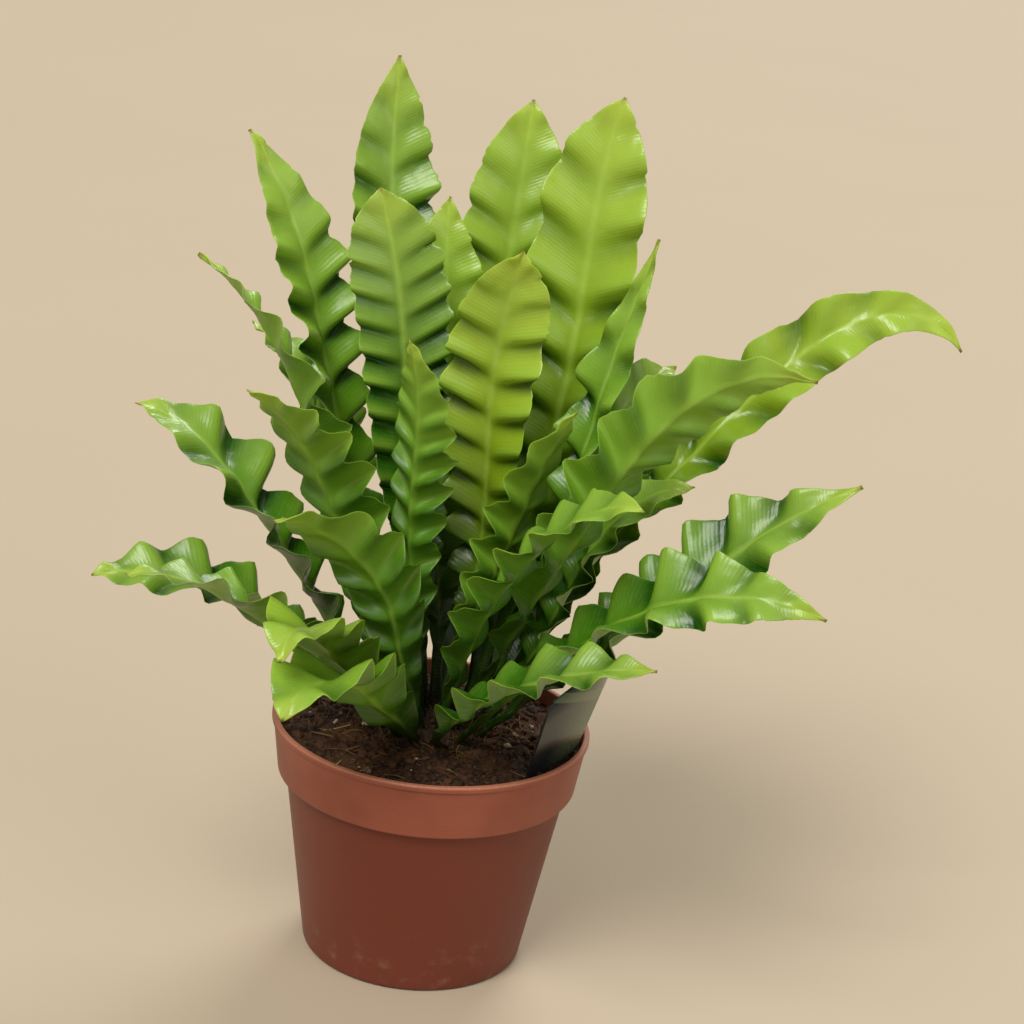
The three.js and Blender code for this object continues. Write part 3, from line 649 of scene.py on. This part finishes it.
def frond_tree():
    """A tree that makes a frond along its midrib's curve: a flat tube, pleated, and then swollen."""
    tree, size = new_tree(
        "frond", Rows="Int", Columns="Int", Width="Float", Root_turn="Float", Tip_turn="Float",
        Taper="Float", Wave="Float", Seed="Float", Left_shift="Float", Blade_from="Float", Level="Vector",
        Tone="Float", Finish="Material")
    midrib, wave_length, seed = size["Geometry"], size["Wave"], size["Seed"]
    length = midrib.new("GeometryNodeCurveLength", (midrib,))
    inputs = {"Size X": 1, "Size Y": 1, "Vertices X": size["Rows"], "Vertices Y": size["Columns"]}
    sheet = midrib.new("GeometryNodeMeshGrid", inputs, output="Mesh")
    cell = midrib.new("GeometryNodeInputPosition")
    sheet = stored(stored(sheet, "along", cell.part("X") + 0.5), "around", cell.part("Y") + 0.5)
    # u counts along the midrib. across is -1 at the left margin and 1 at the right one, on both faces.
    u = midrib.new("GeometryNodeInputNamedAttribute", ("along",), data_type="FLOAT")
    around = midrib.new("GeometryNodeInputNamedAttribute", ("around",), data_type="FLOAT")
    across = ((0.5 - (1 - 2 * around).math("ABSOLUTE")) * math.pi).math("SINE")
    out = across.math("ABSOLUTE")
    left = (0 - across).math("GREATER_THAN", 0)
    under = around.math("GREATER_THAN", 0.5)

    def half_width(at):
        """Half the blade's width, before its margins are cut, at this share of its length."""
        opening = ((at - size["Blade_from"]) / (WIDEST - size["Blade_from"])).clamped()
        closing = ((at - WIDEST) / (1 - WIDEST)).clamped()
        blade = (1 - (1 - opening) ** OPENING) * (1 - closing ** size["Taper"])
        least = at.math("GREATER_THAN", WIDEST).between(STALK_HALF_WIDTH, TIP_HALF_WIDTH)
        return (size["Width"] / 2 * blade).math("MAXIMUM", least)

    # the margin's wave, which dies away at both ends and drifts a little from an even count. On the left
    # half it runs ahead by a part of a wave.
    millimetres = u * length / MM
    drift = (UNEVEN_PACES[0] * millimetres + SEED_STEPS[0] * seed).math("SINE")
    count = u * length / wave_length + UNEVEN_LENGTH * drift
    ends = u.smooth(*WAVES_GROW) * (1 - CALM * u.smooth(*WAVES_DIE))
    swell = (UNEVEN_PACES[1] * millimetres + SEED_STEPS[1] * seed).math("SINE")
    swell = ends * (0.9 + UNEVEN_HEIGHT * swell)
    turns = (count + left * size["Left_shift"]) * (2 * math.pi)
    wave = swell * (turns + PLEAT_SKEW * turns.math("SINE")).math("SINE")
    crimp = swell * (turns * CRIMP_PACE + 5 * seed).math("SINE") * out ** 3
    # the margin comes out in a round lobe on each crest, with a sharp cut between two lobes
    lobe = swell * (2 * (turns / 2 - math.pi / 4).math("COSINE").math("ABSOLUTE") - 1.25)
    # ragged notches near the tip, and a blade that strays from its pleats, from noise over the flat frond
    edge = midrib.new("ShaderNodeCombineXYZ", (u * length, left * 0.02, seed))
    nibble = edge.noise(330, 3, 0.7).smooth(0.5, 0.8) * u.smooth(0.5, 0.95)
    spread = across * half_width(u) * midrib.new("ShaderNodeCombineXYZ", (0.0, 1.0, 0.0))
    unevenness = (edge + spread).noise(90, 2) - 0.5

    # a pleat slants: it ends nearer to the tip at the margin than it starts at the midrib
    lag = SLANT * half_width(u) * u.smooth(*SLANT_GROWS) / length
    margin = (u + lag).math("MINIMUM", 1)
    at = (u + lag * out).math("MINIMUM", 1)
    reach = half_width(margin) * (1 + SCALLOP * lobe - NIBBLE * nibble)
    flattening = 1 - TROUGH_FLATTENS * margin.smooth(TROUGH_FLATTENS, 1)
    trough = TROUGH * margin.smooth(*TROUGH_GROWS) * flattening
    pleat = 1 - (1 - out) ** PLEAT_FULLNESS

    # the blade's axes where it leaves the midrib
    inputs = {"Curves": midrib, "Factor": at}
    sample = midrib.new("GeometryNodeSampleCurve", inputs, output="Position", mode="FACTOR")
    along = sample.other("Tangent").vector("NORMALIZE")
    face = along.vector("CROSS_PRODUCT", size["Level"]).vector("NORMALIZE")
    turn = at.smooth(TURN_FROM, 1).between(size["Root_turn"], size["Tip_turn"])
    inputs = {"Vector": face, "Axis": along, "Angle": turn}
    face = face.new("ShaderNodeVectorRotate", inputs, rotation_type="AXIS_ANGLE")
    side = face.vector("CROSS_PRODUCT", along)
    sway = SWAY * (SWAY_PACE * at + SEED_STEPS[0] * seed).math("SINE") * at.smooth(*SWAY_GROWS)
    sideways = sway + across * reach * trough.math("COSINE")
    rise = WAVE_RISE * wave * pleat + CRIMP * crimp + UNEVEN * unevenness * u.smooth(0.1, 0.4)
    rise = wave_length * rise
    upwards = out * reach * trough.math("SINE") + rise
    place = sample + side * sideways + face * upwards
    blade = midrib.new("GeometryNodeSetPosition", {"Geometry": sheet, "Position": place})

    # thickness: an oval stalk, a thin blade with a sharp margin, and a midrib that stands out below
    stalk = 1 - at.smooth(*STALK_ENDS)
    oval = (1 - out ** stalk.between(8, 2)).math("SQRT")
    rib = 1 - (out * reach / (1 - RIB_THINS[0] * u)).smooth(0, RIB_HALF_WIDTH)
    rib_height = rib * RIB_RISE * under.between(RIB_RISE_ABOVE, 1)
    rib_height = rib_height * (1 - stalk) * (1 - RIB_THINS[1] * u)
    thickness = (stalk.between(BLADE_THICKNESS / 2, STALK_THICKNESS / 2) + rib_height) * oval
    closed_ends = u.smooth(0, 0.004) * (1 - u.smooth(0.985, 1))
    normal = midrib.new("GeometryNodeInputNormal", output="Normal")
    kept = {
        "across": out, "under": under, "pleat": wave * pleat, "rib": rib, "row": millimetres,
        "tone": size["Tone"]}
    for name, value in kept.items():
        blade = stored(blade, name, value)
    inputs = {"Geometry": blade, "Offset": normal * (thickness * closed_ends)}
    blade = midrib.new("GeometryNodeSetPosition", inputs)
    blade = midrib.new("GeometryNodeMergeByDistance", {"Geometry": blade, "Distance": MERGE_DISTANCE})
    close_tree(blade, size["Finish"])
    return tree


def midrib_curve(name, ring, root, lean, tip, heading, climb):
    """The midrib as a curve: up out of the crown, and over to the tip."""
    out = azimuth(root)
    root_way = out * math.sin(math.radians(lean)) + Vector((0, 0, math.cos(math.radians(lean))))
    radius = RING_RADII[ring]
    start = out * radius + Vector((0, 0, crown_height(radius))) - root_way * ROOT_DEPTH
    end = Vector(tip) * MM
    rise = math.radians(climb)
    tip_way = azimuth(heading) * math.cos(rise) + Vector((0, 0, math.sin(rise)))
    span = (end - start).length
    curve = bpy.data.curves.new(name, "CURVE")
    curve.dimensions = "3D"
    spline = curve.splines.new("BEZIER")
    spline.bezier_points.add(1)
    spline.resolution_u = 128
    first, last = spline.bezier_points
    first.co = start
    first.handle_right = start + root_way * span * HANDLE_AT_ROOT
    first.handle_left = start - root_way
    last.co = end
    last.handle_left = end - tip_way * span * HANDLE_AT_TIP
    last.handle_right = end + tip_way
    path = bpy.data.objects.new(name, curve)
    bpy.context.scene.collection.objects.link(path)
    return path, spline.calc_length()


def leaf_green():
    material, shader, place = finish(
        "leaf_green", Specular_IOR_Level=0.45, Subsurface_Weight=0.12, Subsurface_Scale=0.8 * MM,
        Subsurface_Radius=(0.6, 1.0, 0.1))

    def kept(name):
        return place.new("ShaderNodeAttribute", output="Fac", attribute_name=name)

    along, across, under, pleat, rib, row, tone = map(
        kept, ("along", "across", "under", "pleat", "rib", "row", "tone"))
    patches = place.noise(28, 3)
    mottle = place.noise(260, 4, 0.6)
    tone = tone + 0.3 * (patches - 0.5)
    # young fronds are yellow-green, old ones dark, and every frond pales from its foot to its tip
    green = tone.smooth(0, 0.5).tint(srgb(150, 174, 24), srgb(80, 136, 10))
    green = tone.smooth(0.4, 1).tint(green, srgb(26, 82, 6))
    green = (along.smooth(0.45, 1) * 0.6).tint(green, srgb(168, 203, 82))
    # painted highlight and shade: the crests of the pleats are painted paler and the hollows darker, most of
    # all on old fronds
    green = (pleat * 0.75).tint(green, srgb(152, 192, 66))
    green = (0 - pleat * (0.9 + tone)).tint(green, srgb(20, 72, 2))
    # painted shade: the lower part of each frond is deeper green, and its foot deep in the rosette darker
    # still
    green = (0.75 - 0.75 * along.smooth(0.2, 0.8)).tint(green, srgb(46, 102, 8))
    green = (1 - along.smooth(0.02, 0.5)).tint(green, srgb(12, 40, 3))
    # fine veins run out along each pleat
    vein = (row * (2 * math.pi / VEIN_SPACING) + 3 * mottle).math("SINE")
    green = (0.05 * vein + 0.4 * (mottle - 0.5)).tint(green, srgb(154, 194, 50))
    green = (rib * 0.5 * along.smooth(0.08, 0.4)).tint(green, srgb(164, 198, 82))
    green = (under * 0.3 * along.smooth(0.1, 0.5)).tint(green, srgb(112, 158, 36))
    green = (across.smooth(0.985, 1) * 0.4 * along.smooth(0.1, 0.4)).tint(green, srgb(172, 204, 80))
    # the stalk is dark brown at its foot, and the very tip is yellow and dried up
    green = (1 - along.smooth(0.0, 0.09)).tint(green, srgb(34, 22, 10))
    green = (along.smooth(0.88, 1) * 0.4).tint(green, srgb(188, 206, 72))
    green = (along.smooth(0.982, 1) * 0.7).tint(green, srgb(122, 98, 46))
    green.feed(shader["Base Color"])
    (0.22 + 0.12 * under + 0.16 * mottle).feed(shader["Roughness"])
    relief = 0.12 * vein * across.smooth(0.05, 0.3) + mottle
    bump = place.new("ShaderNodeBump", {"Strength": 0.4, "Distance": 0.3 * MM, "Height": relief})
    bump.feed(shader["Normal"])
    return material


frond_nodes = frond_tree()
frond_finish = leaf_green()
for i, (ring, root, lean, tip, heading, climb, width, turn, taper, wave, tone) in enumerate(FRONDS):
    path, length = midrib_curve("midrib", ring, root, lean, tip, heading, climb)
    seed = i + 1
    piece = grown(
        f"fern_frond_{seed:02d}", path, frond_nodes, Rows=round(ROWS_PER_WAVE * length / (wave * MM)),
        Columns=COLUMNS, Width=width * MM, Root_turn=math.radians(turn[0]), Tip_turn=math.radians(turn[1]),
        Taper=float(taper), Wave=wave * MM, Seed=float(seed), Left_shift=0.25 * (seed % 4),
        Blade_from=BLADE_FROM[ring], Level=azimuth(root + 90), Tone=tone, Finish=frond_finish)
    bpy.data.objects.remove(path)
    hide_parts(f"frond_{seed:02d}")

# The plant label
# A thin stiff plastic sheet, printed dark grey-green and glossy, pushed into the soil at the edge
# of the pot. It leans out over the rim and shows a white edge where it was cut.
LABEL_THICKNESS = 0.8 * MM
LABEL_RADIUS = 50.5 * MM
LABEL_PLACE = -26  # the azimuth of its place, in degrees
LABEL_TURN = -32  # the azimuth that its printed side faces
LABEL_LEAN = math.radians(15)
LABEL_FOOT = (3 * MM, -30 * MM)  # half its width, and the height above the soil's level
LABEL_SHOULDER = (16.5 * MM, -6 * MM)
LABEL_CORNER = (21 * MM, 36 * MM)
LABEL_ARCH_STEPS = 32
LABEL_BEND = 1.2 * MM
LABEL_SHIFT = 0.4 * MM
LABEL_CUTS = 3
LABEL_BAND = (148 * MM, 154 * MM)
LABEL_BAND_BLUR = 1 * MM
LABEL_SPLASHES = (SOIL_LEVEL + 4 * MM, SOIL_LEVEL + 12 * MM)


def label_outline():
    """The sheet's outline, from its foot up the right side, over the arch and down the left side."""
    radius = math.hypot(*LABEL_CORNER)
    start = math.atan2(LABEL_CORNER[1], LABEL_CORNER[0])
    steps = range(LABEL_ARCH_STEPS + 1)
    arch = [start + (math.pi - 2 * start) * k / LABEL_ARCH_STEPS for k in steps]
    right = [LABEL_FOOT, LABEL_SHOULDER]
    top = [(radius * math.cos(a), radius * math.sin(a)) for a in arch]
    return right + top + [(-x, y) for x, y in reversed(right)]


def label_print():
    material, shader, place = finish("label_print", Specular_IOR_Level=0.5, Roughness=0.22)
    height = place.part("Z")
    clouds = place.noise(40, 2)
    # the sheet is dark at one side and paler towards the other
    side = azimuth(LABEL_TURN + 90)
    middle = LABEL_RADIUS * azimuth(LABEL_PLACE).dot(side)
    across = place.part("X") * side.x + place.part("Y") * side.y - middle
    shade = across.smooth(-14 * MM, 20 * MM)
    color = (shade + 0.3 * (clouds - 0.5)).tint(srgb(32, 36, 38), srgb(98, 110, 84))
    # a plain paler band across the sheet, and splashes of soil near its foot
    slope = height + 0.6 * place.part("X")
    lower = slope.smooth(LABEL_BAND[0], LABEL_BAND[0] + LABEL_BAND_BLUR)
    band = lower * (1 - slope.smooth(LABEL_BAND[1] - LABEL_BAND_BLUR, LABEL_BAND[1]))
    color = (band * 0.5).tint(color, srgb(118, 134, 96))
    splash = place.noise(420, 4, 0.7).smooth(0.56, 0.66) * (1 - height.smooth(*LABEL_SPLASHES))
    splash.tint(color, srgb(60, 42, 28)).feed(shader["Base Color"])
    return material


def white_edge():
    material, shader, place = finish("label_edge", Roughness=0.5)
    place.noise(600, 3).tint(srgb(214, 214, 206), srgb(236, 236, 230)).feed(shader["Base Color"])
    return material


def label_mesh():
    """The sheet stood up, leant outwards and turned to face its way, a little bent from side to side."""
    shape = bmesh.new()
    corners = [shape.verts.new((x, y, 0)) for x, y in label_outline()]
    front = shape.faces.new(corners)
    bmesh.ops.triangulate(shape, faces=[front])
    bmesh.ops.subdivide_edges(shape, edges=shape.edges[:], cuts=LABEL_CUTS, use_grid_fill=True)
    for vertex in shape.verts:
        vertex.co.z -= LABEL_BEND * (vertex.co.x / LABEL_CORNER[0]) ** 2 - LABEL_SHIFT
    extruded = bmesh.ops.extrude_face_region(shape, geom=shape.faces[:])
    backs = [v for v in extruded["geom"] if isinstance(v, bmesh.types.BMVert)]
    bmesh.ops.translate(shape, verts=backs, vec=(0, 0, LABEL_THICKNESS))
    bmesh.ops.translate(shape, verts=shape.verts[:], vec=(0, 0, -LABEL_THICKNESS / 2))
    shape.normal_update()
    bmesh.ops.recalc_face_normals(shape, faces=shape.faces[:])
    # the two faces are printed, and the cut edge around them is white
    for face in shape.faces:
        face.material_index = 0 if abs(face.normal.z) > 0.5 else 1
        face.smooth = face.material_index == 0
    lean = Matrix.Rotation(math.pi / 2 + LABEL_LEAN, 4, "X")
    turn = Matrix.Rotation(math.radians(LABEL_TURN + 90), 4, "Z")
    stand = Matrix.Translation(azimuth(LABEL_PLACE) * LABEL_RADIUS + Vector((0, 0, SOIL_LEVEL)))
    bmesh.ops.transform(shape, matrix=stand @ turn @ lean, verts=shape.verts[:])
    mesh = bpy.data.meshes.new("label_sheet")
    shape.to_mesh(mesh)
    shape.free()
    return mesh


label = placed("label_sheet", label_mesh(), label_print())
label.data.materials.append(white_edge())
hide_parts("plant_label")

# Floor, light and camera
# A pale seamless floor under a large soft key light from the upper left, a weaker fill from the
# right, and a light behind that shines through the fronds. The camera looks slightly down.
FLOOR_SIZE = 60
WALL_LIGHT = 0.4
PLANT_MIDDLE = Vector((0, 0, 0.16))
CAMERA_PLACE = Vector((0, -0.847, 0.470))
CAMERA_AIM = Vector((0.022, 0, 0.178))
CAMERA_LENS = 86
CAMERA_ROLL = math.radians(6)


def pale_floor():
    material, shader, place = finish("pale_floor", Roughness=0.7)
    place.noise(3, 3).tint(srgb(184, 169, 147), srgb(188, 173, 151)).feed(shader["Base Color"])
    return material


floor_shape = bmesh.new()
bmesh.ops.create_grid(floor_shape, x_segments=1, y_segments=1, size=FLOOR_SIZE / 2)
floor_mesh = bpy.data.meshes.new("studio_floor")
floor_shape.to_mesh(floor_mesh)
floor_shape.free()
floor = bpy.data.objects.new("studio_floor", floor_mesh)
bpy.context.scene.collection.objects.link(floor)
floor_mesh.materials.append(pale_floor())


def soft_light(name, place, angle, power, color):
    """A broad even light that points at the plant's middle and fills this angle of the sky."""
    light = bpy.data.lights.new(name, "SUN")
    light.angle = angle
    light.energy = power
    light.color = color
    lamp = bpy.data.objects.new(name, light)
    lamp.location = place
    lamp.rotation_euler = (PLANT_MIDDLE - Vector(place)).to_track_quat("-Z", "Y").to_euler()
    bpy.context.scene.collection.objects.link(lamp)


soft_light("key_light", (-0.5, -0.9, 1.5), math.radians(30), 2.4, (1, 0.98, 0.94))
soft_light("fill_light", (0.9, -0.8, 0.9), math.radians(40), 0.5, (1, 0.98, 0.95))
soft_light("back_light", (0.3, 0.9, 1.2), math.radians(25), 1.3, (1, 0.99, 0.94))

world = bpy.data.worlds.new("studio")
world.use_nodes = True
bpy.context.scene.world = world
# the studio's walls look like the floor, but shed a dimmer light on the plant
seen = Value(world.node_tree).new("ShaderNodeLightPath", output="Is Camera Ray")
dim = tuple(WALL_LIGHT * c for c in srgb(236, 226, 210)[:3]) + (1,)
seen.tint(dim, srgb(214, 197, 171)).feed(world.node_tree.nodes["Background"].inputs["Color"])
bpy.context.scene.view_settings.view_transform = "Standard"

camera = bpy.data.cameras.new("camera")
camera.lens = CAMERA_LENS
camera_stand = bpy.data.objects.new("camera", camera)
bpy.context.scene.collection.objects.link(camera_stand)
camera_stand.location = CAMERA_PLACE
camera_stand.rotation_mode = "QUATERNION"
look = (CAMERA_AIM - CAMERA_PLACE).to_track_quat("-Z", "Y")
camera_stand.rotation_quaternion = look @ Quaternion((0, 0, 1), CAMERA_ROLL)
bpy.context.scene.camera = camera_stand
